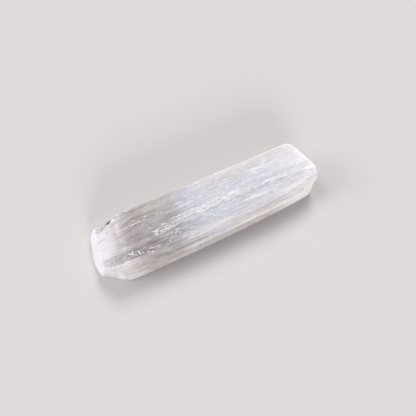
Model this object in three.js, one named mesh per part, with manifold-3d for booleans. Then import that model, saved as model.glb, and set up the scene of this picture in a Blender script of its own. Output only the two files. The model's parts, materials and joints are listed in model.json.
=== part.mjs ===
// A raw selenite stick: a bar of fibrous gypsum split along its fibres out of a wider vein, with
// both ends ground off by hand. It grew as one mass, so it is one solid.
//
// Millimetres, +Z up. The fibres run along +X. The stick lies on its flat cleavage face at Z = 0,
// and the origin is the middle of that face's box. "Near" is -Y and "far" is +Y.

import * as THREE from 'three';
import { mergeVertices } from 'three/addons/utils/BufferGeometryUtils.js';
import Module from 'manifold-3d';

const wasm = await Module();
wasm.setup();

// Driving dimensions.
const length = 100;
const thickness = 12.5;
const nearHalf = 12.25;         // half width on the near side, at mid length
const farHalf = 12.8;           // the same on the far side
const nearTaper = 0.0023;       // share of the near half lost for each mm towards +X
const nearBow = 0.00004;        // and for each square mm, because the near side bows outwards
const farTaper = 0.0005;
const ridgeBow = 0.0019;        // how fast the ridge on top curves away from mid length, per mm
const ridgeMiddle = 5;          // X where that curve turns

// Cleavage relief: the long faces are strips that stand a little higher or lower than each other.
const stripWidth = 1.15;
const stripRelief = 0.3;
const topShare = 0.4;           // the top is smoother: its strips keep this share of that relief
const stationSpacing = 3.4;
const spare = 3;                // blank past each end, which the end facets take off

const half = length / 2;

// The same numbers on every run, so that the stick is always this one.
function seededRandom(seed) {
  let state = seed;
  return () => {
    state = (state + 0x6d2b79f5) | 0;
    let t = Math.imul(state ^ (state >>> 15), 1 | state);
    t = (t + Math.imul(t ^ (t >>> 7), 61 | t)) ^ t;
    return ((t ^ (t >>> 14)) >>> 0) / 4294967296;
  };
}

const random = seededRandom(20);

function between(low, high) {
  return low + (high - low) * random();
}

// Corners of the cross-section at mid length as [Y, Z], once round from the near bottom edge. The
// near side leans in a little towards the top.
const corners = [
  [-nearHalf + 0.6, 0],
  [farHalf - 1.3, 0],
  [farHalf - 0.6, 0.9],
  [farHalf - 0.2, 3.8],
  [farHalf, 7.8],
  [farHalf, thickness - 1.3],
  [farHalf - 0.7, thickness - 0.5],
  [-0.6, thickness],            // the low ridge along the top
  [-8.3, thickness - 0.4],
  [-9, thickness - 0.6],
  [-nearHalf + 2.2, thickness - 0.9],
  [-nearHalf + 1.3, thickness - 2],
  [-nearHalf + 0.85, 6.7],      // a ledge along the near side
  [-nearHalf + 0.35, 6.1],
  [-nearHalf + 0.2, 3.4],
  [-nearHalf, 0.9],
];

// The section's outline with each side cut into strips.
function sectionOutline() {
  const points = [];
  corners.forEach((corner, i) => {
    const from = new THREE.Vector2(...corner);
    const to = new THREE.Vector2(...corners[(i + 1) % corners.length]);
    const strips = Math.max(1, Math.round(from.distanceTo(to) / stripWidth));
    for (let k = 0; k < strips; k += 1) {
      points.push(from.clone().lerp(to, k / strips));
    }
  });
  return points;
}

// How far one strip's edge stands in from the outline, at any X. It wanders slowly along the fibres.
function makeStrip() {
  const depth = stripRelief * random() ** 1.4;
  const wave = between(9, 24);
  const phase = between(0, 2 * Math.PI);
  const slowWave = between(30, 60);
  return (x) => depth * (0.55 + 0.3 * Math.sin(x / wave + phase) + 0.15 * Math.cos(x / slowWave));
}

// The long bar before its ends are shaped.
function splitBar() {
  const outline = sectionOutline();
  const strips = outline.map(() => makeStrip());
  const bar = new THREE.ExtrudeGeometry(new THREE.Shape(outline), {
    depth: length + 2 * spare,
    steps: Math.round((length + 2 * spare) / stationSpacing),
    bevelEnabled: false,
  });
  // The outline's X and Y become the stick's Y and Z, and the extrusion runs along +X.
  bar.applyMatrix4(new THREE.Matrix4().makeBasis(
    new THREE.Vector3(0, 1, 0),
    new THREE.Vector3(0, 0, 1),
    new THREE.Vector3(1, 0, 0),
  ));
  bar.translate(-half - spare, 0, 0);

  const middle = new THREE.Vector2(0, thickness / 2);
  const place = bar.getAttribute('position');
  for (let i = 0; i < place.count; i += 1) {
    const x = place.getX(i);
    const point = new THREE.Vector2(place.getY(i), place.getZ(i));
    const gaps = outline.map((p) => p.distanceTo(point));
    const strip = strips[gaps.indexOf(Math.min(...gaps))];
    const onTop = point.y > thickness - 1;
    if (point.y > 0) {
      // Strips only stand in, so that the bar stays inside its own outline.
      const depth = strip(x) * (onTop ? topShare : 1);
      point.addScaledVector(point.clone().sub(middle).normalize(), -depth);
    }
    if (onTop) {
      point.x -= ridgeBow * (x - ridgeMiddle) ** 2 * Math.max(0, 1 - Math.abs(point.x) / nearHalf);
    }
    point.x *= 1 - (point.x < 0 ? nearTaper * x + nearBow * x ** 2 : farTaper * x);
    place.setXYZ(i, x, point.x, point.y);
  }
  return solid(bar);
}

// A three.js geometry as a manifold-3d solid.
function solid(geometry) {
  const bare = geometry.clone();
  bare.deleteAttribute('normal');
  bare.deleteAttribute('uv');
  const merged = mergeVertices(bare, 1e-4);
  return new wasm.Manifold(new wasm.Mesh({
    numProp: 3,
    vertProperties: merged.getAttribute('position').array,
    triVerts: new Uint32Array(merged.index.array),
  }));
}

// Everything outside a flat facet, as a block to take off. The block can stop at a height.
function outside({ at, facing, below = null }) {
  const side = 60;
  const block = new THREE.BoxGeometry(side, side, side).translate(0, 0, side / 2);
  const turn = new THREE.Quaternion().setFromUnitVectors(
    new THREE.Vector3(0, 0, 1),
    new THREE.Vector3(...facing).normalize(),
  );
  block.applyQuaternion(turn).translate(...at);
  if (below === null) {
    return solid(block);
  }
  const under = new THREE.BoxGeometry(2 * length, side, side).translate(0, 0, below - side / 2);
  return solid(block).intersect(solid(under));
}

// The left end is ground to a wedge: a long bevel off the top, a blunt nose and ground corners.
const leftEnd = [
  { at: [-36.2, 0, thickness], facing: [-0.3, 0.05, 0.95] },
  { at: [-38.4, 0, thickness - 0.7], facing: [-0.552, 0.094, 0.828] },
  { at: [-48.3, 0, 4.4], facing: [-0.86, 0.14, 0.5] },
  { at: [-half, 3, 2.4], facing: [-0.95, 0.31, -0.06] },
  { at: [-49.8, -3, 0.5], facing: [-1, -0.06, -0.02] },
  { at: [-49.1, -5.1, 1.5], facing: [-0.82, -0.55, 0.12] },
  { at: [-39.2, -12.5, 0], facing: [-0.56, -0.81, 0.17] },
  { at: [-36.8, -9.1, thickness], facing: [-0.08, -0.96, 0.27] },
  { at: [-46.7, 10.8, 6.3], facing: [-0.75, 0.62, 0.2] },
  { at: [-30, 12.7, thickness - 0.4], facing: [-0.25, 0.71, 0.65] },
];

// The right end is cut askew and leans inwards as it goes down, with its corners ground off.
const rightEnd = [
  { at: [half, -4, thickness], facing: [0.97, -0.03, -0.24] },
  { at: [half + 0.1, -2.2, thickness], facing: [0.93, 0.28, -0.24] },
  { at: [46.8, 10.1, thickness], facing: [0.57, 0.8, -0.15] },
  { at: [41.8, 12.6, thickness], facing: [0.33, 0.94, -0.05] },
  { at: [half - 0.3, -2.6, thickness], facing: [0.6, 0.15, 0.78] },
  { at: [45.8, 9.6, thickness], facing: [0.3, 0.45, 0.84] },
  { at: [43.6, -10.2, 0], facing: [0.17, -0.96, 0.23] },
  { at: [45.7, -9.9, 1.9], facing: [0.62, -0.74, -0.26], below: 9 },
  { at: [48.5, -7.2, 7], facing: [0.86, -0.4, -0.3], below: 9.4 },
];

// Where splinters are missing: a run of them along an edge, each a thin wedge that tapers into the
// stick. Taper 1 points it to +X, and -1 to -X.
const missingSplinters = [
  {
    place: 'far-left corner',
    from: [-46, 10.6, 8.2],
    to: [-32, 12.2, 12.1],
    count: 13,
    taper: 1,
    long: [3, 9],
    wide: [0.5, 1.3],
    deep: [0.8, 1.7],
  },
  {
    place: 'near top edge, beside the left corner',
    from: [-34, -10.6, 10.9],
    to: [-21, -11, 11.2],
    count: 5,
    taper: 1,
    long: [4, 8],
    wide: [0.35, 0.6],
    deep: [0.3, 0.6],
  },
  {
    place: 'near bottom edge',
    from: [-32, -12.9, 1.1],
    to: [-26, -12.8, 1.4],
    count: 3,
    taper: -1,
    long: [3, 6],
    wide: [0.4, 0.7],
    deep: [0.4, 0.7],
  },
  {
    place: 'near corner of the right end',
    from: [46.6, -8.3, 9.3],
    to: [49.2, -7, 10.2],
    count: 5,
    taper: -1,
    long: [3, 7],
    wide: [0.5, 0.9],
    deep: [0.5, 0.9],
  },
  {
    place: 'far bottom edge',
    from: [18, 12, 0.8],
    to: [38, 11.6, 1.1],
    count: 5,
    taper: -1,
    long: [6, 12],
    wide: [0.5, 0.9],
    deep: [0.5, 1],
  },
];

function splinterCuts({ from, to, count, taper, long, wide, deep }) {
  const cuts = [];
  for (let k = 0; k < count; k += 1) {
    const wedge = new THREE.ConeGeometry(1, 1, 5).rotateZ(-taper * Math.PI / 2);
    wedge.scale(between(...long), between(...wide), between(...deep));
    wedge.rotateX(between(-0.6, 0.6));
    wedge.rotateY(between(-0.1, 0.1));
    wedge.rotateZ(between(-0.05, 0.05));
    const at = new THREE.Vector3(...from).lerp(new THREE.Vector3(...to), (k + 0.5) / count);
    wedge.translate(at.x + between(-1, 1), at.y + between(-0.4, 0.4), at.z + between(-0.4, 0.4));
    cuts.push(solid(wedge));
  }
  return cuts;
}

// Shallow grooves along the top where a bundle of fibres pulled out. They fade out at both ends.
const pulledGrooves = [
  { at: [-27, -6.4, 12.3], long: 17, wide: 0.55, deep: 0.5 },
  { at: [-14, 4.3, 12.3], long: 22, wide: 0.4, deep: 0.4 },
  { at: [24, -4.6, 12.3], long: 19, wide: 0.45, deep: 0.45 },
  { at: [30, 7, 12.1], long: 14, wide: 0.4, deep: 0.35 },
];

function grooveCut({ at, long, wide, deep }) {
  return solid(new THREE.OctahedronGeometry(1).scale(long / 2, wide, deep).translate(...at));
}

function shapedStick() {
  const waste = [
    ...leftEnd.map(outside),
    ...rightEnd.map(outside),
    ...missingSplinters.flatMap(splinterCuts),
    ...pulledGrooves.map(grooveCut),
  ];
  return waste.reduce((stick, block) => stick.subtract(block), splitBar());
}

// A manifold-3d solid as a geometry, moved so that its box stands centred on the origin.
function centredGeometry(shape) {
  const { vertProperties, triVerts } = shape.getMesh();
  const geometry = new THREE.BufferGeometry();
  geometry.setAttribute('position', new THREE.BufferAttribute(vertProperties, 3));
  geometry.setIndex(new THREE.BufferAttribute(triVerts, 1));
  geometry.computeBoundingBox();
  const { min, max } = geometry.boundingBox;
  geometry.translate(-(min.x + max.x) / 2, -(min.y + max.y) / 2, -min.z);
  geometry.computeVertexNormals();
  return geometry;
}

const seleniteStick = new THREE.Mesh(
  centredGeometry(shapedStick()),
  new THREE.MeshStandardMaterial({ color: 0xdddae2, roughness: 0.3, metalness: 0 }),
);
seleniteStick.name = 'selenite_stick';

const part = new THREE.Group();
part.add(seleniteStick);

export default part;
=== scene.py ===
import json
import math
import random
from types import SimpleNamespace

import bmesh
import bpy
from mathutils import Matrix, Vector, kdtree

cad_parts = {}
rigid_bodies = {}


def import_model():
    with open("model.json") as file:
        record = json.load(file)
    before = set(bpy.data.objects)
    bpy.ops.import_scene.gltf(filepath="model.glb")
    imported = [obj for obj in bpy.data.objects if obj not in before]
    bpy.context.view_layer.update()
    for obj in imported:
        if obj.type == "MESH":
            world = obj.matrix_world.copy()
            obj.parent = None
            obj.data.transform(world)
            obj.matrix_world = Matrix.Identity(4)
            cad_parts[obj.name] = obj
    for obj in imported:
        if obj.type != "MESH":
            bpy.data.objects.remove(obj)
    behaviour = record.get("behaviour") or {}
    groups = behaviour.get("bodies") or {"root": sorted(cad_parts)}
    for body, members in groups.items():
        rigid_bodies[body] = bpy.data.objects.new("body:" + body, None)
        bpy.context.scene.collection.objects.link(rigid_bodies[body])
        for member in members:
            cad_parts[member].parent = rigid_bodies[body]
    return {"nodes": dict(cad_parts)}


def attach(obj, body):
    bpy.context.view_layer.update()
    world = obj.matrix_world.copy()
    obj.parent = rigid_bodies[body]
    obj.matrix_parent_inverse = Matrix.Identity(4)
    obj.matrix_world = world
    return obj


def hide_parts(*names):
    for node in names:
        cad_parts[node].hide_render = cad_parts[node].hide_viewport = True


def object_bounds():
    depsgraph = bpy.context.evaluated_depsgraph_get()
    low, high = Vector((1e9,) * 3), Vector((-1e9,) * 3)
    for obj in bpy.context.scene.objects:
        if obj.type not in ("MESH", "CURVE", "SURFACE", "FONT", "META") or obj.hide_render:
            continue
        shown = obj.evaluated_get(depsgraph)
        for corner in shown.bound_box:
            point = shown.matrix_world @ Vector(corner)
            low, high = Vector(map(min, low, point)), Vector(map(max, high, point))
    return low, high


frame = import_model()
cadLow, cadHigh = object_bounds()
mm = 0.001
length = cadHigh.x - cadLow.x
top = cadHigh.z
print("stick loaded:", [round(side / mm, 1) for side in cadHigh - cadLow], "mm")


# selecting, resizing and modifiers, as they are done by hand

def deselectAll():
    if bpy.context.object and bpy.context.object.mode != "OBJECT":
        bpy.ops.object.mode_set(mode="OBJECT")
    bpy.ops.object.select_all(action="DESELECT")


def pick(piece):
    deselectAll()
    piece.select_set(True)
    bpy.context.view_layer.objects.active = piece


def addCopy(name, mesh):
    piece = bpy.data.objects.new(name, mesh.copy())
    bpy.context.scene.collection.objects.link(piece)
    return piece


def applyPlace(piece):
    pick(piece)
    bpy.ops.object.transform_apply(location=True, rotation=True, scale=True)


def resize(piece, sides):
    piece.scale = sides
    applyPlace(piece)


def applyModifier(piece, kind, settings):
    modifier = piece.modifiers.new(kind.title(), kind)
    for name, value in settings.items():
        setattr(modifier, name, value)
    pick(piece)
    bpy.ops.object.modifier_apply(modifier=modifier.name)


def smooth(piece, passes, group=""):
    applyModifier(piece, "SMOOTH", {"factor": 0.5, "iterations": passes, "vertex_group": group})


def fade(value, low, high):
    # from 0 at low to 1 at high, gently at both ends
    share = min(1.0, max(0.0, (value - low) / (high - low)))
    return share * share * (3 - 2 * share)


# shader maths

class Number:
    # one value in a material, so that masks are written as sums
    def __init__(self, nodes, socket):
        self.nodes = nodes
        self.socket = socket

    def maths(self, operation, *parts):
        return self.nodes.add("ShaderNodeMath", {"operation": operation}, dict(enumerate(parts))).out()

    def __add__(self, other):
        return self.maths("ADD", self, other)

    __radd__ = __add__

    def __sub__(self, other):
        return self.maths("SUBTRACT", self, other)

    def __rsub__(self, other):
        return self.maths("SUBTRACT", other, self)

    def __mul__(self, other):
        return self.maths("MULTIPLY", self, other)

    __rmul__ = __mul__

    def __truediv__(self, other):
        return self.maths("DIVIDE", self, other)

    def __pow__(self, other):
        return self.maths("POWER", self, other)

    def clamp(self):
        return self.maths("MAXIMUM", self.maths("MINIMUM", self, 1.0), 0.0)

    def ramp(self, low, high):
        settings = {"interpolation_type": "SMOOTHSTEP"}
        values = {0: self, 1: low, 2: high}
        return self.nodes.add("ShaderNodeMapRange", settings, values).out()


class AddedNode:
    def __init__(self, nodes, node):
        self.nodes = nodes
        self.node = node

    def out(self, name=0):
        return Number(self.nodes, self.node.outputs[name])


class Nodes:
    # the nodes of a material or of the air, and the one way they are added
    def __init__(self, tree):
        self.tree = tree
        self.tree.nodes.clear()

    def add(self, kind, settings=None, values=None):
        node = self.tree.nodes.new(kind)
        for name, value in (settings or {}).items():
            setattr(node, name, value)
        for name, value in (values or {}).items():
            socket = node.inputs[name]
            if isinstance(value, Number):
                self.tree.links.new(value.socket, socket)
            else:
                socket.default_value = (*value, 1) if socket.type == "RGBA" else value
        return AddedNode(self, node)

    def mixColours(self, share, first, second):
        values = {0: share, 6: first, 7: second}
        return self.add("ShaderNodeMix", {"data_type": "RGBA"}, values).out(2)


class Look(Nodes):
    # a material, patterned by each point's own place on the stick
    def __init__(self, name, backdrop):
        self.material = bpy.data.materials.new(name)
        self.material.use_nodes = True
        self.material.diffuse_color = (*backdrop, 1)
        super().__init__(self.material.node_tree)

    def place(self):
        return self.add("ShaderNodeTexCoord").out("Object")

    def axis(self, name):
        return self.add("ShaderNodeSeparateXYZ", {}, {0: self.place()}).out(name)

    def fibreNoise(self, marks):
        # noise drawn out along the fibres
        along, across, shift = marks["along"] * mm, marks["across"] * mm, marks["shift"]
        drawn = self.add("ShaderNodeMapping", {}, {
            "Vector": self.place(),
            "Scale": (1 / along, 1 / across, 1 / across),
            "Location": (shift, shift * 1.7, shift * 0.6),
        })
        values = {"Vector": drawn.out(), "Scale": 1.0, "Detail": marks["detail"], "Roughness": 0.55}
        return self.add("ShaderNodeTexNoise", {}, values).out("Fac")


# the crystal body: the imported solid, given a fine skin that follows the fibres

body = {
    "node": "selenite_stick",
    "weld": 0.001 * mm,    # corners of the solid nearer than this are one
    "squeeze": 0.16,       # fibres are this much shorter while the skin is laid, so its faces are long
    "skin": 0.145 * mm,    # width of a skin face
    "smoothing": 2,        # passes over the whole skin
    "sharpEdge": 30,       # degrees; the solid's edges past this are the crushed white ones
    "edgeStep": 0.3 * mm,  # between the points taken along them
    "crushWidth": 0.42 * mm,
    "topRelief": 0.17,     # share of the reliefs' depth laid on the top, which is satin smooth
    "topTilt": (0.6, 0.95),   # how far up a face looks where that share starts and holds
    "endRelief": 0.12,     # share laid on the ground left end
    "calm": (-41, -27),    # X in mm over which the reliefs fade in past that end
    "cutTilt": (0.2, 0.5),    # how far along the fibres a face looks to count as a cut end
    "farTilt": (0.2, 0.75),   # and to the far side to count as that
}

# where the left end's bevel meets the top the crystal is ground round, and the top with it; all in mm,
# and X as it is before the squeeze
bevel = {
    "x": -38.5,
    "half": 5,             # half the width it is rounded over
    "gap": (0.5, 1.0),     # shares of that half over which the rounding falls off
    "top": 0.75,           # share of the rounding given to the rest of the top
    "z": (8.5, 10.5),      # it starts above the sides
    "y": (7.5, 9.5),       # and stops short of the far edge
    "rightX": (45, 49.5),  # and of the right end
    "passes": 36,
}

# the near corner of the right end is worn round below its tip, in mm
wornCorner = {"x": (32, 37), "y": (-7, -5), "z": (6.5, 8.5), "passes": 220}

# bundles of fibres, coarse to fine: how wide and long they are and how deep the lines between, in mm
reliefs = [
    {"name": "cleavage strips", "kind": "CLOUDS", "across": 1.6, "along": 60, "height": 0.10},
    {"name": "fibre bundles", "kind": "VORONOI", "across": 0.95, "along": 50, "height": 0.15},
    {"name": "fibres", "kind": "VORONOI", "across": 0.5, "along": 16, "height": 0.08},
    {"name": "broken fibres", "kind": "CLOUDS", "across": 0.32, "along": 5, "height": 0.04},
]

# the chipped corner at the left of the far side, in mm
chip = {
    "x": -41.4,
    "y": 11.6,
    "long": 4.2,
    "wide": 2.2,
    "gap": (0.6, 1.2),     # shares of its size over which it fades out
    "z": (4, 7),
    "ground": {"name": "broken ground", "kind": "CLOUDS", "across": 0.8, "along": 3.5, "height": 0.5},
}


def weighPoints(piece, name, share):
    # a vertex group, weighted by what share says of each point
    group = piece.vertex_groups.new(name=name)
    for vertex in piece.data.vertices:
        group.add([vertex.index], share(vertex), "REPLACE")


def markPoints(piece, name, values):
    # a value for each point, which the material reads
    piece.data.attributes.new(name, "FLOAT", "POINT").data.foreach_set("value", values)


def bevelShare(vertex):
    x, y, z = vertex.co / mm
    x /= body["squeeze"]
    gap = abs(x - bevel["x"]) / bevel["half"]
    share = bevel["top"] + (1 - bevel["top"]) * (1 - fade(gap, *bevel["gap"]))
    return share * fade(z, *bevel["z"]) * (1 - fade(y, *bevel["y"])) * (1 - fade(x, *bevel["rightX"]))


def wornShare(vertex):
    x, y, z = vertex.co / mm
    x /= body["squeeze"]
    return fade(x, *wornCorner["x"]) * (1 - fade(y, *wornCorner["y"])) * (1 - fade(z, *wornCorner["z"]))


def reliefShare(vertex):
    share = 1 - (1 - body["topRelief"]) * fade(vertex.normal.z, *body["topTilt"])
    return share * (body["endRelief"] + (1 - body["endRelief"]) * fade(vertex.co.x / mm, *body["calm"]))


def chipShare(vertex):
    x, y, z = vertex.co / mm
    gap = math.hypot((x - chip["x"]) / chip["long"], (y - chip["y"]) / chip["wide"])
    return (1 - fade(gap, *chip["gap"])) * fade(z, *chip["z"])


def layRelief(piece, relief, group="relief"):
    # presses a pattern drawn out along the fibres into the skin, and never raises it
    texture = bpy.data.textures.new(relief["name"], relief["kind"])
    texture.noise_scale = relief["across"] * mm
    guide = bpy.data.objects.new("guide", None)
    bpy.context.scene.collection.objects.link(guide)
    guide.scale.x = relief["along"] / relief["across"]
    bpy.context.view_layer.update()
    applyModifier(piece, "DISPLACE", {
        "texture": texture,
        "texture_coords": "OBJECT",
        "texture_coords_object": guide,
        "strength": relief["height"] * mm,
        "mid_level": 1.0,
        "vertex_group": group,
    })
    bpy.data.objects.remove(guide)
    bpy.data.textures.remove(texture)


def sharpEdgePoints(mesh):
    # points along every sharp edge of the solid
    shape = bmesh.new()
    shape.from_mesh(mesh)
    points = []
    for edge in shape.edges:
        if len(edge.link_faces) == 2 and edge.calc_face_angle() > math.radians(body["sharpEdge"]):
            first, last = (vertex.co for vertex in edge.verts)
            steps = max(1, round((last - first).length / body["edgeStep"]))
            points += [first.lerp(last, i / steps) for i in range(steps + 1)]
    shape.free()
    return points


def markCrush(piece, points):
    # how near each point of the skin is to a sharp edge
    tree = kdtree.KDTree(len(points))
    for i, point in enumerate(points):
        tree.insert(point, i)
    tree.balance()
    gaps = [tree.find(vertex.co)[2] / body["crushWidth"] for vertex in piece.data.vertices]
    markPoints(piece, "crush", [math.exp(-gap * gap) for gap in gaps])


def markFaces(piece):
    # the ends, which cut across the fibres, and the faces turned to the far side, which get painted
    # shade
    low, high = body["cutTilt"]
    tilts = [(abs(vertex.normal.x) - low) / (high - low) for vertex in piece.data.vertices]
    markPoints(piece, "cut", [min(1.0, max(0.0, tilt)) for tilt in tilts])
    markPoints(piece, "far", [fade(vertex.normal.y, *body["farTilt"]) for vertex in piece.data.vertices])


def markGroove(piece, before):
    # how deep the reliefs pressed each point, from 0 on a fibre's back to 1 in the deepest line
    depths = [(vertex.co - old).length for vertex, old in zip(piece.data.vertices, before)]
    deepest = max(depths)
    markPoints(piece, "groove", [depth / deepest for depth in depths])
    mean = sum(depths) / len(depths)
    print("grooves: mean", round(mean / mm, 3), "deepest", round(deepest / mm, 3), "mm")


def makeCrystal():
    piece = addCopy("crystal_body", frame["nodes"][body["node"]].data)
    piece.data.materials.clear()
    pick(piece)
    bpy.ops.object.mode_set(mode="EDIT")
    bpy.ops.mesh.select_all(action="SELECT")
    bpy.ops.mesh.remove_doubles(threshold=body["weld"])
    bpy.ops.object.mode_set(mode="OBJECT")
    points = sharpEdgePoints(piece.data)
    resize(piece, (body["squeeze"], 1, 1))
    applyModifier(piece, "REMESH", {"mode": "VOXEL", "voxel_size": body["skin"]})
    smooth(piece, body["smoothing"])
    weighPoints(piece, "bevel", bevelShare)
    smooth(piece, bevel["passes"], "bevel")
    weighPoints(piece, "worn corner", wornShare)
    smooth(piece, wornCorner["passes"], "worn corner")
    resize(piece, (1 / body["squeeze"], 1, 1))
    markCrush(piece, points)
    markFaces(piece)
    before = [vertex.co.copy() for vertex in piece.data.vertices]
    weighPoints(piece, "relief", reliefShare)
    for relief in reliefs:
        layRelief(piece, relief)
    weighPoints(piece, "chip", chipShare)
    layRelief(piece, chip["ground"], "chip")
    markGroove(piece, before)
    piece.vertex_groups.clear()
    pick(piece)
    bpy.ops.object.shade_smooth()
    print("crystal body:", len(piece.data.polygons), "faces")
    return piece


crystalPaint = {
    "sheen": (0.60, 0.612, 0.68),        # satin part, right of the middle
    "clear": (0.57, 0.51, 0.50),         # glassy part
    "lilac": (0.48, 0.455, 0.505),       # where the glassy part meets the satin
    "dawn": (0.49, 0.50, 0.57),          # first of the satin, bluer
    "frost": (0.89, 0.85, 0.925),        # ground left end
    "nose": (0.90, 0.905, 0.99),         # and its tip
    "bevelStreaks": (0.36, 0.33, 0.37),  # grey streaks on the near part of its bevel
    "farEnd": (0.735, 0.717, 0.765),     # right end
    "farCorner": (0.65, 0.62, 0.65),     # and its near corner
    "side": (0.97, 0.925, 0.89),         # near side, satin part
    "sideSheen": (0.66, 0.625, 0.62),    # laid thinly under that
    "sideClear": (0.72, 0.655, 0.61),    # near side, glassy part
    "sideLowLight": (0.92, 0.84, 0.78),       # and its lower half, painted paler: painted light lifting the shade near the floor
    "facet": (0.98, 0.955, 0.985),       # near side of the ground left end
    "cream": (0.73, 0.688, 0.655),       # and right of it
    "sideEnd": (0.955, 0.945, 0.965),    # near side at the right end
    "glow": (0.74, 0.75, 0.83),          # near edge in the middle
    "nearDim": (0.48, 0.475, 0.52),      # and right of it
    "farSheen": (0.63, 0.60, 0.595),     # far part of the satin top
    "farClear": (0.71, 0.67, 0.61),      # far part of the glassy top, faintly yellow
    "farSideShade": (0.56, 0.54, 0.58),       # painted shade, laid thinly over the faces turned to the far side and the right end's faces
    "smoke": (0.42, 0.36, 0.36),         # darker drifts in the glassy part
    "shade": (0.27, 0.23, 0.225),        # the darkest, by the near edge
    "mottle": (0.55, 0.49, 0.45),        # near side below the ledge
    "rim": (0.96, 0.92, 0.89),           # crushed edges
    "back": (0.95, 0.94, 0.98),          # the fibres' raised backs
    "line": (0.34, 0.30, 0.30),          # lines between fibres
    "dash": (0.98, 0.97, 1.0),           # white of short loose fibres, partly painted glints
    "hollow": (0.17, 0.16, 0.16),        # painted shade in the break behind the corner's blades
    "chip": (0.40, 0.40, 0.39),          # grey of the broken ground round it, deepened as painted shade
}

# slow to fine waves along the fibres, which push the edges of the masks about: how wide and long
# their marks are in mm, how broken up they are, and where in the pattern they start
waves = {
    "wander": {"across": 3, "along": 7, "detail": 3, "shift": 3},
    "wisps": {"across": 1.1, "along": 16, "detail": 3, "shift": 7},
    "streaks": {"across": 0.5, "along": 20, "detail": 3, "shift": 1},
    "fine": {"across": 0.34, "along": 9, "detail": 3, "shift": 5},
}

# marks in the crystal; a ramp cuts the noise down to separate ones, and leaves the cut ends clean
marks = {
    "patches": {"across": 2.2, "along": 8, "detail": 3, "shift": 17},
    "clusters": {"across": 3.5, "along": 11, "detail": 3, "shift": 11},
    "drifts": {"across": 1.6, "along": 7, "detail": 3, "shift": 27},
    "fluff": {"across": 0.62, "along": 2.4, "detail": 4, "shift": 21},
    "shreds": {"across": 0.3, "along": 4, "detail": 1, "shift": 13},
    "darkStrands": {"across": 0.5, "along": 24, "detail": 2, "shift": 31, "ramp": (0.54, 0.64)},
    "brightStrands": {"across": 0.45, "along": 15, "detail": 2, "shift": 37, "ramp": (0.6, 0.68)},
    "sideLines": {"across": 0.8, "along": 26, "detail": 1, "shift": 51, "ramp": (0.54, 0.66)},
    "sideSeams": {"across": 0.7, "along": 34, "detail": 1, "shift": 61, "ramp": (0.52, 0.64)},
    "nicks": {"across": 0.7, "along": 1.2, "detail": 2, "shift": 43, "ramp": (0.52, 0.66)},
    "sparks": {"across": 0.8, "along": 1.8, "detail": 2, "shift": 71, "ramp": (0.54, 0.66)},
}

# where along the fibres a change starts and is complete, X in mm
alongX = {
    "nose": (-49.5, -46),
    "bevelStreaks": (-49, -44),
    "bevelStreaksEnd": (-38, -32),
    "frostEnd": (-45, -31.5),
    "facetEnd": (-45, -39.5),
    "cream": (-45, -39),
    "creamMilk": (-40, -32),
    "creamEnd": (-30, -17),
    "farEdge": (-35, -31),
    "farEdgeEnd": (-12, 14),
    "mottle": (-34, -26),
    "sideMarks": (-34, -22),       # dark marks on the near side reach their full strength
    "sheenStart": (-32, -10),      # the glassy part turns satin slowly
    "sheenEdge": (-14.5, -8),      # and then fast
    "ledge": (-30, -18),
    "lilac": (-26, -15),
    "sideLowLightEnd": (-26, -14),
    "farTidy": (-20, -8),          # fewer crushed edges on the far side
    "sideMilk": (-16, 40),
    "lowRise": (-12, 4),           # the near side's lower part gets taller
    "dawnEnd": (-8, 1),
    "farSheen": (-6, 6),
    "nearTidy": (20, 34),          # fewer crushed edges on the near side
    "sideWarm": (22, 46),
    "sideEnd": (22, 38),
    "farEnd": (24, 50),
    "marksEnd": (24, 40),          # dark marks low on the near side fade out
    "farCorner": (36, 47),
    "endFace": (40, 46),
}

# the same across the fibres, from the middle to the far side, Y in mm
acrossY = {
    "farCorner": (-1, 9),
    "farPart": (4, 11),
    "farCalm": (6, 9),
    "farTidy": (8, 11),
    "farEdge": (10.2, 11.4),
}

# and to the near side
towardsNear = {
    "nearTidy": (3, 7),
    "side": (7.0, 10.8),
    "frost": (8.0, 10.5),
}

# and upwards, Z in mm
upZ = {
    "low": (2.6, 4.2),
    "marksEnd": (4, 6),
    "broken": (4.5, 7),
    "hollow": (6.5, 8.5),
    "sideTop": (9, 11.6),
    "clouds": (10, 11.4),
}

# round areas: their middle and half their length and width, in mm on the top, and down the near side
# as if it were folded up level with the top
spots = {
    "shade": {"x": -28, "y": -6.7, "long": 8, "wide": 2.3},
    "lesserShade": {"x": -13.5, "y": -7, "long": 6, "wide": 2.4},
    "crestSparkle": {"x": 11, "y": -0.4, "long": 13, "wide": 1.8},
    "glow": {"x": 1, "y": -12, "long": 9, "wide": 2},
    "nearDim": {"x": 29, "y": -10.5, "long": 13, "wide": 3},
    "hollow": {"x": -37.8, "y": 11.4, "long": 1.6, "wide": 0.48},
    "broken": {"x": -41.4, "y": 11.2, "long": 4.2, "wide": 1.9},
}

# the ridge along the top bows away from its middle, as the solid's does, in mm
ridge = {"middle": 5, "bow": 0.0019, "y": -0.7, "half": 3.2}

# the shader's own values
crystalShader = {
    "ior": 1.52,
    "tint": (0.97, 0.955, 0.955),
    "clearRoughness": 0.24,        # a rougher one loses the fine marks
    "absorb": (0.8, 0.75, 0.74),
    "density": 8.0,
    "scatter": 0.8,
    "scatterColour": (1.0, 0.9, 0.85),
    "scatterDepth": 4 * mm,
    "coat": 0.14,
    "coatRoughness": 0.16,
    "bump": 0.5,
    "bumpDepth": 0.04 * mm,
}


def fromMiddle(x, y, spot):
    # 0 in the middle of a round area and 1 at its rim
    return ((x - spot["x"]) / spot["long"]) ** 2 + ((y - spot["y"]) / spot["wide"]) ** 2


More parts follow.
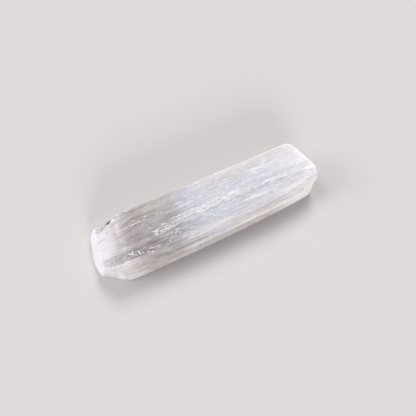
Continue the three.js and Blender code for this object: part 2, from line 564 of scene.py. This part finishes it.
def startMasks(look):
    # what the masks are worked out from: place in mm, the mesh's own marks and the noise
    m = SimpleNamespace()
    m.x, m.y, m.z = (look.axis(name) / mm for name in "XYZ")
    for name in ("crush", "cut", "far", "groove"):
        setattr(m, name, look.add("ShaderNodeAttribute", {"attribute_name": name}).out("Fac"))
    for name, wave in waves.items():
        setattr(m, name, look.fibreNoise(wave) - 0.5)
    for name, mark in marks.items():
        noise = look.fibreNoise(mark)
        if "ramp" in mark:
            noise = noise.ramp(*mark["ramp"]) * (1 - m.cut)
        setattr(m, name, noise)
    # Y carried on down the near side as if that were folded up level with the top
    m.folded = m.y + m.z * 0.47 - 5.7
    return m


def addRegions(m):
    m.nose = 1 - (m.x - m.y * 0.2 + m.wander).ramp(*alongX["nose"])
    nearFrost = (0 - m.y).ramp(*towardsNear["frost"]) * 5
    m.frost = 1 - (m.x - m.y * 0.2 - nearFrost + m.wander * 3 + m.wisps * 3).ramp(*alongX["frostEnd"])
    m.drift = m.x - m.y * 0.19 + m.wander * 8 + m.wisps * 8
    m.sheen = m.drift.ramp(*alongX["sheenStart"]) * 0.3 + m.drift.ramp(*alongX["sheenEdge"]) * 0.7
    m.farEnd = (m.x + m.wander * 8).ramp(*alongX["farEnd"])
    m.side = (m.x * 0.03 - m.y + m.wisps * 2).ramp(*towardsNear["side"])
    rise = m.x.ramp(*alongX["lowRise"]) * 1.2
    m.low = 1 - (m.z - rise + m.wander * 1.5 + m.streaks * 2).ramp(*upZ["low"])
    m.ledge = (1 - ((m.z - 6.3 + m.streaks * 1.5) ** 2).ramp(0.0, 0.35)) * m.side
    m.ledge = m.ledge * m.x.ramp(*alongX["ledge"])
    m.facet = m.side * (1 - m.x.ramp(*alongX["facetEnd"]))
    m.creamy = m.side * m.x.ramp(*alongX["cream"]) * (1 - m.x.ramp(*alongX["creamEnd"]))


def addShades(m):
    # smoke and shade in the glassy part, and the near edge's glow and dim stretch
    m.smoke = m.drifts + (1 - ((m.x + 27) / 9) ** 2).clamp() * 0.1
    m.smoke = m.smoke.ramp(0.48, 0.7) * (1 - m.sheen)
    lesser = (0.6 - fromMiddle(m.x, m.y, spots["lesserShade"]) + m.wisps).clamp() * 0.4
    m.shade = (1.25 - fromMiddle(m.x, m.y, spots["shade"]) + m.wisps * 2 + m.streaks).clamp()
    m.shade = (m.shade + lesser).clamp()
    m.glow = (1 - fromMiddle(m.x, m.folded, spots["glow"])).clamp()
    m.nearDim = (1 - fromMiddle(m.x, m.folded, spots["nearDim"]) + m.wisps * 2).clamp()


def addMarks(m):
    # clouds on the top with a painted sparkle along the crest, white dashes that are partly painted
    # glints, lines between the fibres and the fibres' backs
    bow = (m.x - ridge["middle"]) ** 2 * ridge["bow"]
    # a painted sparkle along the ridge's crest, which lifts the clouds there
    crestSparkle = (1 - ((m.y - ridge["y"] + bow) / ridge["half"]) ** 2).clamp() * 0.09
    crestSparkle = crestSparkle + (1 - fromMiddle(m.x, m.y, spots["crestSparkle"])).clamp() * 0.06
    m.clouds = (m.fluff + crestSparkle).ramp(0.54, 0.72) * (m.sheen * 0.8 + 0.2)
    m.clouds = m.clouds * (1 - m.side) * (1 - m.cut) * m.z.ramp(*upZ["clouds"])
    # white dashes, partly painted glints
    m.dashes = (m.shreds + m.clusters * 0.25).ramp(0.80, 0.86) * (1 - m.cut)
    m.lines = (m.groove.ramp(0.36, 0.72) + m.streaks * 0.5 + m.fine * 0.25).clamp()
    m.lines = m.lines * (1 - m.cut * 0.7) * (1 - m.frost * 0.6) * (1 - m.sheen * (1 - m.side) * 0.5)
    m.backs = (1 - m.groove.ramp(0.05, 0.34)) * (m.streaks * 2.5 + 0.55).clamp() * (1 - m.cut)
    m.mottle = m.side * m.low * (m.patches * 1.2 - 0.1).clamp() * (1 - m.cut)
    m.mottle = m.mottle * m.x.ramp(*alongX["mottle"]) * (1 - m.x.ramp(*alongX["marksEnd"]))
    # the dark marks are weaker low at the right end and near the left one, and all weaker far back
    m.calm = 1 - m.x.ramp(*alongX["marksEnd"]) * (1 - m.z.ramp(*upZ["marksEnd"])) * 0.8
    m.calm = m.calm * (m.x.ramp(*alongX["sideMarks"]) * 0.75 + 0.25)
    m.farCalm = 1 - m.y.ramp(*acrossY["farCalm"]) * m.sheen * 0.6


def addBreaks(m):
    # grey streaks on the left bevel, crushed edges with painted shade on the far one, and the chipped
    # corner with painted shade in its break and round it
    m.bevelStreaks = (1 - (m.folded + m.wander).ramp(-5.2, -4.0)) * m.folded.ramp(-9.2, -8.4)
    m.bevelStreaks = m.bevelStreaks * (m.streaks * 4 + m.darkStrands * 0.5 + 0.75).clamp()
    m.bevelStreaks = m.bevelStreaks * m.x.ramp(*alongX["bevelStreaks"])
    m.bevelStreaks = m.bevelStreaks * (1 - m.x.ramp(*alongX["bevelStreaksEnd"]))
    m.farEdge = (m.y + m.wander * 0.6).ramp(*acrossY["farEdge"])
    m.farEdge = m.farEdge * m.x.ramp(*alongX["farEdge"]) * (1 - m.x.ramp(*alongX["farEdgeEnd"]))
    m.ragged = m.crush * (m.patches * 2.4 - 0.75).clamp() * (1 - m.farEdge) * (1 - m.side * 0.6)
    m.ragged = m.ragged * (1 - m.y.ramp(*acrossY["farTidy"]) * m.x.ramp(*alongX["farTidy"]) * 0.6)
    nearTidy = (0 - m.y).ramp(*towardsNear["nearTidy"]) * m.x.ramp(*alongX["nearTidy"])
    m.ragged = m.ragged * (1 - nearTidy * 0.8)
    # painted shade in the break behind the corner's blades
    m.hollow = 1 - fromMiddle(m.x, m.y, spots["hollow"]).ramp(0.5, 1.3)
    m.hollow = m.hollow * m.z.ramp(*upZ["hollow"])
    # the broken ground round the chip, its grey deepened as painted shade under the edges
    m.broken = 1 - fromMiddle(m.x, m.y, spots["broken"]).ramp(0.4, 1.3)
    m.broken = m.broken * (m.streaks * 4 + m.wander * 2 + 0.8).clamp() * m.z.ramp(*upZ["broken"])


def coats(m):
    # each colour in turn, and how much of it is laid over the ones before
    glassy = 1 - m.sheen
    satinSide = m.side * m.sheen
    farPart = m.y.ramp(*acrossY["farPart"])
    farCorner = m.x.ramp(*alongX["farCorner"]) * (1 - m.y.ramp(*acrossY["farCorner"]) * 0.5)
    yield m.sheen, "sheen"
    yield m.drift.ramp(*alongX["lilac"]) * glassy * 0.8, "lilac"
    yield m.sheen * (1 - m.x.ramp(*alongX["dawnEnd"])) * 0.9, "dawn"
    yield m.farEnd, "farEnd"
    yield farCorner * 0.6, "farCorner"
    yield farPart * glassy * 0.7, "farClear"
    yield m.side * glassy * 0.8, "sideClear"
    yield satinSide * 0.7, "sideSheen"
    yield satinSide * (m.x.ramp(*alongX["sideWarm"]) * 0.7 + 0.16), "side"
    yield satinSide * m.z.ramp(*upZ["sideTop"]) * 0.7, "sheen"
    yield m.side * m.x.ramp(*alongX["sideEnd"]) * 0.9, "sideEnd"
    # painted light on the lower near side, lifting its shade near the floor
    yield m.side * m.low * (1 - m.x.ramp(*alongX["sideLowLightEnd"])) * 0.7, "sideLowLight"
    yield farPart * m.x.ramp(*alongX["farSheen"]) * 0.7, "farSheen"
    yield m.smoke * 0.3, "smoke"
    yield m.nearDim * 0.5, "nearDim"
    # white clouds, with painted sparkle along the crest
    yield m.clouds * m.farCalm * 0.56, "dash"
    yield m.mottle, "mottle"
    yield m.frost, "frost"
    yield m.facet * 0.9, "facet"
    yield m.creamy * (0.92 - m.low * 0.3), "cream"
    yield m.darkStrands * (0.11 - m.sheen * 0.06 + m.side * 0.2), "line"
    yield m.brightStrands * m.farCalm * (0.14 - m.sheen * 0.06), "back"
    yield m.nose, "nose"
    yield m.bevelStreaks * 0.8, "bevelStreaks"
    yield m.lines * m.farCalm * (0.1 + m.side * m.calm * 0.25), "line"
    yield m.nicks * m.side * m.calm * (0.75 - m.sheen * 0.2), "line"
    yield m.sideSeams * m.side * m.calm * (0.44 - m.sheen * 0.2), "line"
    yield m.sideLines * m.side * (0.7 - m.sheen * 0.25), "rim"
    yield m.sparks * m.side * m.calm * (0.5 - m.sheen * 0.25), "dash"
    yield m.backs * m.farCalm * (m.side * 0.25 + 0.1), "back"
    yield m.shade * 0.85, "shade"
    yield m.glow * 0.7, "glow"
    # painted glints, white like loose fibres
    yield m.dashes * 0.65, "dash"
    yield m.ragged * (m.sheen * 0.2 + 0.4), "rim"
    yield m.ledge * 0.6, "rim"
    # painted shade, in the smoke colour, dims the crushed far edge and the light it catches
    yield m.farEdge * m.crush * 0.5, "smoke"
    # grey broken ground with painted shade round the chip
    yield m.broken * 0.8, "chip"
    # painted shade on the faces turned to the far side and on the right end's faces
    yield (m.far * 0.7 + m.cut * m.x.ramp(*alongX["endFace"]) * 0.35).clamp(), "farSideShade"
    # painted shade in the corner's break
    yield m.hollow, "hollow"


def milkiness(m):
    # how milky each place is: 0 is clear crystal and 1 is satin through and through
    milk = m.sheen * 0.3 + m.frost * (0.4 - m.side * 0.2) + m.farEnd * 0.1
    milk = milk + m.ragged * 0.3 + m.dashes * 0.3 + m.backs * 0.25 + 0.42 - m.lines * 0.3
    milk = milk + m.side * (m.x.ramp(*alongX["sideMilk"]) * 0.45 + 0.08 + m.low * 0.2)
    milk = milk - m.smoke * 0.16 + m.clouds * 0.2 + m.nose * 0.3 + m.facet * 0.6
    milk = milk + m.creamy * m.x.ramp(*alongX["creamMilk"]) * 0.2
    return milk.clamp()


def crystalLook():
    look = Look("selenite", (0.86, 0.85, 0.89))
    m = startMasks(look)
    addRegions(m)
    addShades(m)
    addMarks(m)
    addBreaks(m)
    paint = crystalPaint["clear"]
    for share, colour in coats(m):
        paint = look.mixColours(share, paint, crystalPaint[colour])
    bump = look.add("ShaderNodeBump", {}, {
        "Strength": crystalShader["bump"],
        "Distance": crystalShader["bumpDepth"],
        "Height": m.fine,
    })
    clear = look.add("ShaderNodeBsdfPrincipled", {}, {
        "Base Color": crystalShader["tint"],
        "Roughness": crystalShader["clearRoughness"],
        "IOR": crystalShader["ior"],
        "Transmission Weight": 1.0,
        "Normal": bump.out(),
    })
    milky = look.add("ShaderNodeBsdfPrincipled", {"subsurface_method": "RANDOM_WALK"}, {
        "Base Color": paint,
        "Roughness": (m.streaks * 0.3 + 0.42 + m.cut * 0.2).clamp(),
        "IOR": crystalShader["ior"],
        "Subsurface Weight": crystalShader["scatter"],
        "Subsurface Radius": crystalShader["scatterColour"],
        "Subsurface Scale": crystalShader["scatterDepth"],
        "Coat Weight": crystalShader["coat"],
        "Coat Roughness": crystalShader["coatRoughness"],
        "Normal": bump.out(),
    })
    mixed = look.add("ShaderNodeMixShader", {}, {0: milkiness(m), 1: clear.out(), 2: milky.out()})
    absorb = look.add("ShaderNodeVolumeAbsorption", {}, {
        "Color": crystalShader["absorb"],
        "Density": crystalShader["density"],
    })
    look.add("ShaderNodeOutputMaterial", {}, {"Surface": mixed.out(), "Volume": absorb.out()})
    return look.material


# splinters: loose fibres and flakes that lie on the skin

splinterShapes = [
    {"name": "needle", "straight": 0.4, "tip": 0.12, "slant": 0.0},
    {"name": "blade", "straight": 0.6, "tip": 0.3, "slant": 0.15},
    {"name": "sliver", "straight": 0.5, "tip": 0.2, "slant": -0.25},
]

splinters = {
    "thick": (0.3, 0.5),   # shares of a splinter's width
    "stray": 0.06,         # how far the scattered ones turn from the fibres, in radians
    "fall": 100 * mm,      # they drop onto the skin from this height
    "sharpEdge": 40,       # degrees
}

scatter = [
    {"name": "ridge", "count": 140, "x": (-20, 44), "y": (-2.2, 2.0),
     "long": (1.4, 4.8), "wide": (0.12, 0.3)},
    {"name": "top", "count": 110, "x": (-16, 46), "y": (-8.5, 6.5),
     "long": (0.8, 3.0), "wide": (0.08, 0.17)},
    {"name": "near lines", "count": 60, "x": (-20, 40), "y": (-8.8, -4.6),
     "long": (1.4, 4.4), "wide": (0.12, 0.28)},
    {"name": "glassy part", "count": 24, "x": (-38, -18), "y": (-9, 7),
     "long": (0.6, 1.8), "wide": (0.12, 0.24)},
]

# the larger flakes, each at its place on the top: where, how long and wide, and its turn in degrees
flakes = [
    {"at": (-22.6, -2.4), "long": 2.8, "wide": 0.66, "turn": 80},
    {"at": (-21.6, -1.4), "long": 2.4, "wide": 0.56, "turn": 38},
    {"at": (-23.4, -1.7), "long": 1.8, "wide": 0.5, "turn": -30},
    {"at": (-20.0, -2.6), "long": 2.8, "wide": 0.5, "turn": 5},
    {"at": (-18.2, -2.4), "long": 1.8, "wide": 0.54, "turn": -40},
    {"at": (-17.2, -2.9), "long": 1.8, "wide": 0.5, "turn": 35},
    {"at": (-23.6, -2.9), "long": 1.6, "wide": 0.5, "turn": 12},
    {"at": (-16.2, -2.0), "long": 1.5, "wide": 0.4, "turn": -25},
    {"at": (-12.4, -1.2), "long": 1.6, "wide": 0.34, "turn": 20},
    {"at": (-36.0, 5.0), "long": 3.6, "wide": 0.34, "turn": 0},
    {"at": (-33.2, 5.1), "long": 3.4, "wide": 0.38, "turn": 0},
    {"at": (-30.4, 5.1), "long": 3.6, "wide": 0.42, "turn": 0},
    {"at": (-27.6, 5.2), "long": 3.4, "wide": 0.38, "turn": 0},
    {"at": (-25.0, 5.2), "long": 2.8, "wide": 0.3, "turn": 0},
    {"at": (-36.2, -6.4), "long": 2.4, "wide": 0.6, "turn": -55},
    {"at": (-35.2, -6.6), "long": 2.4, "wide": 0.56, "turn": 75},
    {"at": (-34.2, -7.6), "long": 1.6, "wide": 0.44, "turn": -30},
    {"at": (-32.5, -7.5), "long": 2.0, "wide": 0.6, "turn": -80},
    {"at": (-31.2, -8.0), "long": 1.2, "wide": 0.5, "turn": -50},
    {"at": (-27.2, -7.6), "long": 2.2, "wide": 0.34, "turn": -14},
    {"at": (-25.4, -7.9), "long": 3.2, "wide": 0.3, "turn": 6},
    {"at": (-29.0, -8.6), "long": 2.0, "wide": 0.34, "turn": -30},
    {"at": (-27.4, -9.1), "long": 2.4, "wide": 0.32, "turn": -16},
    {"at": (-23.6, -8.0), "long": 3.0, "wide": 0.18, "turn": 0},
    {"at": (-26.6, 3.1), "long": 1.2, "wide": 0.36, "turn": 70},
    {"at": (-17.3, 5.1), "long": 2.0, "wide": 0.29, "turn": 0},
    {"at": (-4.2, 4.7), "long": 6.0, "wide": 0.22, "turn": 0},
    {"at": (4.8, 5.5), "long": 3.0, "wide": 0.36, "turn": 0},
    {"at": (9.0, 0.6), "long": 4.5, "wide": 0.43, "turn": 3},
    {"at": (13.0, 1.1), "long": 5.0, "wide": 0.36, "turn": 3},
    {"at": (-15.0, -1.7), "long": 1.8, "wide": 0.29, "turn": 0},
    {"at": (-8.4, -6.5), "long": 2.8, "wide": 0.36, "turn": 0},
    {"at": (2.0, -5.3), "long": 1.8, "wide": 0.25, "turn": 70},
    {"at": (12.6, -5.1), "long": 3.0, "wide": 0.32, "turn": 0},
    {"at": (17.4, -5.9), "long": 2.6, "wide": 0.36, "turn": 0},
    {"at": (24.4, 0.1), "long": 2.2, "wide": 0.32, "turn": 0},
    {"at": (30.6, -2.3), "long": 2.4, "wide": 0.36, "turn": 0},
    {"at": (37.8, -0.1), "long": 6.5, "wide": 0.29, "turn": 0},
    {"at": (20.2, -8.2), "long": 3.4, "wide": 0.29, "turn": 0},
]

# blades of fibre half broken off at the chipped corner, each raised by its tilt in degrees
cornerBlades = [
    {"at": (-36.9, 10.9), "long": 5.0, "wide": 1.3, "turn": 26, "tilt": 9},
    {"at": (-35.4, 11.3), "long": 3.2, "wide": 1.2, "turn": 14, "tilt": 6},
    {"at": (-33.9, 11.9), "long": 2.2, "wide": 0.8, "turn": -20, "tilt": 6},
    {"at": (-32.8, 11.6), "long": 3.6, "wide": 0.6, "turn": 3, "tilt": 4},
    {"at": (-39.8, 10.2), "long": 3.0, "wide": 0.6, "turn": 14, "tilt": 5},
    {"at": (-42.6, 10.9), "long": 3.4, "wide": 0.5, "turn": 8, "tilt": 4},
    {"at": (-45.0, 9.6), "long": 3.0, "wide": 0.5, "turn": 12, "tilt": 5},
    {"at": (-30.2, 11.9), "long": 1.2, "wide": 0.5, "turn": -50, "tilt": 8},
]

# slivers sealed in the glassy part, seen through its skin, in mm
veils = {
    "count": 80,
    "x": (-37, -6),
    "y": (-10.5, 11),
    "z": (2.5, 11.2),
    "long": (5, 22),
    "wide": (0.08, 0.5),
    "thick": 0.05,
    "roll": 0.6,           # most they roll about the fibres, in radians
    "room": 0.5,           # least between their ends and the skin
}


def makeSplinterShape(shape):
    # lies along X, 1 long and 1 across, with a tapered end each way
    deselectAll()
    bpy.ops.mesh.primitive_cylinder_add(
        vertices=6, radius=0.5, depth=shape["straight"], rotation=(0, math.radians(90), 0))
    piece = bpy.context.object
    piece.name = shape["name"]
    applyPlace(piece)
    for way in (1, -1):
        pick(piece)
        for face in piece.data.polygons:
            face.select = face.normal.x * way > 0.9
        bpy.ops.object.mode_set(mode="EDIT")
        bpy.ops.mesh.select_mode(type="FACE")
        reach = way * (1 - shape["straight"]) / 2
        bpy.ops.mesh.extrude_region_move(TRANSFORM_OT_translate={"value": (reach, shape["slant"], 0)})
        bpy.ops.transform.resize(value=(1, shape["tip"], shape["tip"]))
        bpy.ops.object.mode_set(mode="OBJECT")
    return piece


def standOn(crystal, at, turn):
    # the place on the skin under a point, and the frame of a splinter that lies there
    start = Vector((at[0] * mm, at[1] * mm, splinters["fall"]))
    hit, place, normal, face = crystal.ray_cast(start, Vector((0, 0, -1)))
    if not hit:
        return None
    along = Vector((1, 0, 0)) - normal * normal.x
    along.normalize()
    across = normal.cross(along)
    turned = along * math.cos(turn) + across * math.sin(turn)
    across = normal.cross(turned)
    return place, Matrix((turned, across, normal)).transposed()


def laySplinter(crystal, shapes, splinter):
    found = standOn(crystal, splinter["at"], math.radians(splinter["turn"]))
    if found is None:
        return None
    place, axes = found
    axes = axes @ Matrix.Rotation(-math.radians(splinter.get("tilt", 0)), 3, "Y")
    piece = addCopy("splinter", random.choice(shapes).data)
    long, wide = splinter["long"] * mm, splinter["wide"] * mm
    size = Matrix.Diagonal((long, wide, wide * random.uniform(*splinters["thick"]))).to_4x4()
    piece.data.transform(Matrix.Translation(place) @ axes.to_4x4() @ size)
    return piece


def strew(area):
    # one loose fibre somewhere in an area; those on the ridge follow its bow
    x, y = random.uniform(*area["x"]), random.uniform(*area["y"])
    if area["name"] == "ridge":
        y -= 0.5 + ridge["bow"] * (x - ridge["middle"]) ** 2
    return {
        "at": (x, y),
        "long": random.uniform(*area["long"]),
        "wide": random.uniform(*area["wide"]),
        "turn": math.degrees(random.gauss(0, splinters["stray"])),
    }


def joinPieces(pieces, name):
    deselectAll()
    for piece in pieces:
        piece.select_set(True)
    joined = pieces[0]
    bpy.context.view_layer.objects.active = joined
    bpy.ops.object.join()
    joined.name = name
    pick(joined)
    bpy.ops.object.shade_smooth_by_angle(angle=math.radians(splinters["sharpEdge"]))
    print(name + ":", len(joined.data.polygons), "faces")
    return joined


def makeSplinters(crystal):
    random.seed(11)
    shapes = [makeSplinterShape(shape) for shape in splinterShapes]
    pieces = [laySplinter(crystal, shapes, splinter) for splinter in flakes + cornerBlades]
    for area in scatter:
        pieces += [laySplinter(crystal, shapes, strew(area)) for i in range(area["count"])]
    joined = joinPieces([piece for piece in pieces if piece], "surface_splinters")
    for shape in shapes:
        bpy.data.objects.remove(shape)
    return joined


def insideCrystal(crystal, point):
    # whether a point lies in the crystal with room to spare above, below and to the sides
    for way in ((0, 0, 1), (0, 0, -1), (0, 1, 0), (0, -1, 0), (1, 0, 0), (-1, 0, 0)):
        hit, place, normal, face = crystal.ray_cast(point, Vector(way))
        if not hit or normal.dot(Vector(way)) < 0 or (place - point).length < veils["room"] * mm:
            return False
    return True


def makeVeils(crystal):
    random.seed(23)
    shape = makeSplinterShape(splinterShapes[0])
    pieces = []
    while len(pieces) < veils["count"]:
        place = Vector([random.uniform(*veils[axis]) * mm for axis in "xyz"])
        long = random.uniform(*veils["long"]) * mm
        size = (long, random.uniform(*veils["wide"]) * mm, veils["thick"] * mm)
        ends = [place + Vector((way * long / 2, 0, 0)) for way in (-1, 1)]
        if not all(insideCrystal(crystal, end) for end in ends):
            continue
        piece = addCopy("veil", shape.data)
        roll = Matrix.Rotation(random.uniform(-veils["roll"], veils["roll"]), 4, "X")
        piece.data.transform(Matrix.Translation(place) @ roll @ Matrix.Diagonal(size).to_4x4())
        pieces.append(piece)
    bpy.data.objects.remove(shape)
    return joinPieces(pieces, "inner_veils")


pearl = {
    "dull": (0.86, 0.85, 0.89),
    "bright": (1.0, 1.0, 1.0),
    "streaks": {"across": 0.3, "along": 4, "detail": 3, "shift": 2},
    "roughness": 0.3,
    "scatter": 0.3,
    "scatterDepth": 0.3 * mm,
}


def splinterLook():
    look = Look("pearly_fibre", (0.95, 0.95, 0.97))
    paint = look.mixColours(look.fibreNoise(pearl["streaks"]), pearl["dull"], pearl["bright"])
    pearly = look.add("ShaderNodeBsdfPrincipled", {}, {
        "Base Color": paint,
        "Roughness": pearl["roughness"],
        "IOR": crystalShader["ior"],
        "Subsurface Weight": pearl["scatter"],
        "Subsurface Radius": (1.0, 1.0, 1.0),
        "Subsurface Scale": pearl["scatterDepth"],
    })
    look.add("ShaderNodeOutputMaterial", {}, {"Surface": pearly.out()})
    return look.material


# the studio: floor, soft light and camera

studio = {
    "floorRadius": 1.0,
    "rimRadius": 2.5,      # past the flat the floor rises in a slow curve, so that no horizon shows
    "rimHeight": 0.56,
    "rimSteps": 16,
    "floorColour": (0.63, 0.60, 0.60),
    "horizon": (0.42, 0.40, 0.40),
    "zenith": (0.20, 0.20, 0.21),
    "zenithFrom": 0.5,     # how far up the air has the zenith's colour, as the height of a unit ray
}

# wide soft lamps: compass direction from +X and height in degrees, strength, and how wide they look
lamps = [
    {"name": "back_lamp", "compass": 52, "height": 41, "strength": 1.97, "wide": 24,
     "colour": (1, 0.985, 0.975)},
    {"name": "left_lamp", "compass": 158, "height": 30, "strength": 0.95, "wide": 30,
     "colour": (1, 0.99, 0.98)},
    {"name": "front_lamp", "compass": 262, "height": 13, "strength": 3.2, "wide": 30,
     "colour": (1, 0.98, 0.97)},
    {"name": "top_lamp", "compass": 120, "height": 57, "strength": 0.8, "wide": 30,
     "colour": (1, 0.99, 0.985)},
]

view = {
    "azimuth": -25.6,
    "elevation": 65.0,
    "lens": 85.0,
    "distance": 4.095,     # in lengths of the stick
    "aimX": 2.1 * mm,
    "aimY": 1.05 * mm,
}


def makeFloor():
    deselectAll()
    flat, rim = studio["floorRadius"], studio["rimRadius"]
    bpy.ops.mesh.primitive_circle_add(vertices=128, radius=flat, fill_type="NGON")
    floor = bpy.context.object
    floor.name = "floor"
    bpy.ops.object.mode_set(mode="EDIT")
    bpy.ops.mesh.select_mode(type="EDGE")
    bpy.ops.mesh.select_all(action="SELECT")
    reach, height = flat, 0.0
    for i in range(1, studio["rimSteps"] + 1):
        part = i / studio["rimSteps"]
        newReach = flat + (rim - flat) * part
        newHeight = studio["rimHeight"] * part * part
        bpy.ops.mesh.extrude_edges_move(TRANSFORM_OT_translate={"value": (0, 0, newHeight - height)})
        bpy.ops.transform.resize(value=(newReach / reach, newReach / reach, 1))
        reach, height = newReach, newHeight
    bpy.ops.object.mode_set(mode="OBJECT")
    bpy.ops.object.shade_smooth()
    look = Look("floor_paper", studio["floorColour"])
    paper = look.add("ShaderNodeBsdfPrincipled", {}, {
        "Base Color": studio["floorColour"],
        "Roughness": 1.0,
        "Specular IOR Level": 0.0,
    })
    look.add("ShaderNodeOutputMaterial", {}, {"Surface": paper.out()})
    floor.data.materials.append(look.material)


def makeAir():
    # even light from all round, a little brighter towards the horizon
    world = bpy.data.worlds.new("studio_air")
    world.use_nodes = True
    air = Nodes(world.node_tree)
    way = air.add("ShaderNodeTexCoord").out("Generated")
    height = air.add("ShaderNodeSeparateXYZ", {}, {0: way}).out("Z")
    share = air.add("ShaderNodeMapRange", {}, {"Value": height, "From Max": studio["zenithFrom"]}).out()
    tone = air.mixColours(share, studio["horizon"], studio["zenith"])
    light = air.add("ShaderNodeBackground", {}, {"Color": tone})
    air.add("ShaderNodeOutputWorld", {}, {"Surface": light.out()})
    bpy.context.scene.world = world


def makeLamps():
    for lamp in lamps:
        compass, height = math.radians(lamp["compass"]), math.radians(lamp["height"])
        level = math.cos(height)
        towards = Vector((math.cos(compass) * level, math.sin(compass) * level, math.sin(height)))
        deselectAll()
        bpy.ops.object.light_add(type="SUN", location=towards)
        light = bpy.context.object
        light.name = lamp["name"]
        light.data.energy = lamp["strength"]
        light.data.angle = math.radians(lamp["wide"])
        light.data.color = lamp["colour"]
        light.rotation_euler = towards.to_track_quat("Z", "Y").to_euler()
    print("studio: floor,", len(lamps), "lamps")


def makeCamera():
    azimuth, elevation = math.radians(view["azimuth"]), math.radians(view["elevation"])
    level = math.cos(elevation)
    back = Vector((math.sin(azimuth) * level, -math.cos(azimuth) * level, math.sin(elevation)))
    aim = Vector((view["aimX"], view["aimY"], top / 2))
    deselectAll()
    bpy.ops.object.camera_add(location=aim + back * view["distance"] * length)
    camera = bpy.context.object
    camera.rotation_euler = (-back).to_track_quat("-Z", "Y").to_euler()
    camera.data.lens = view["lens"]
    bpy.context.scene.camera = camera
    print("camera set")


makeFloor()
makeAir()
makeLamps()
makeCamera()
bpy.context.scene.view_settings.view_transform = "Standard"

crystal = makeCrystal()
crystal.data.materials.append(crystalLook())
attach(crystal, "root")
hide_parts(body["node"])

pearly = splinterLook()
for piece in (makeSplinters(crystal), makeVeils(crystal)):
    piece.data.materials.append(pearly)
    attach(piece, "root")
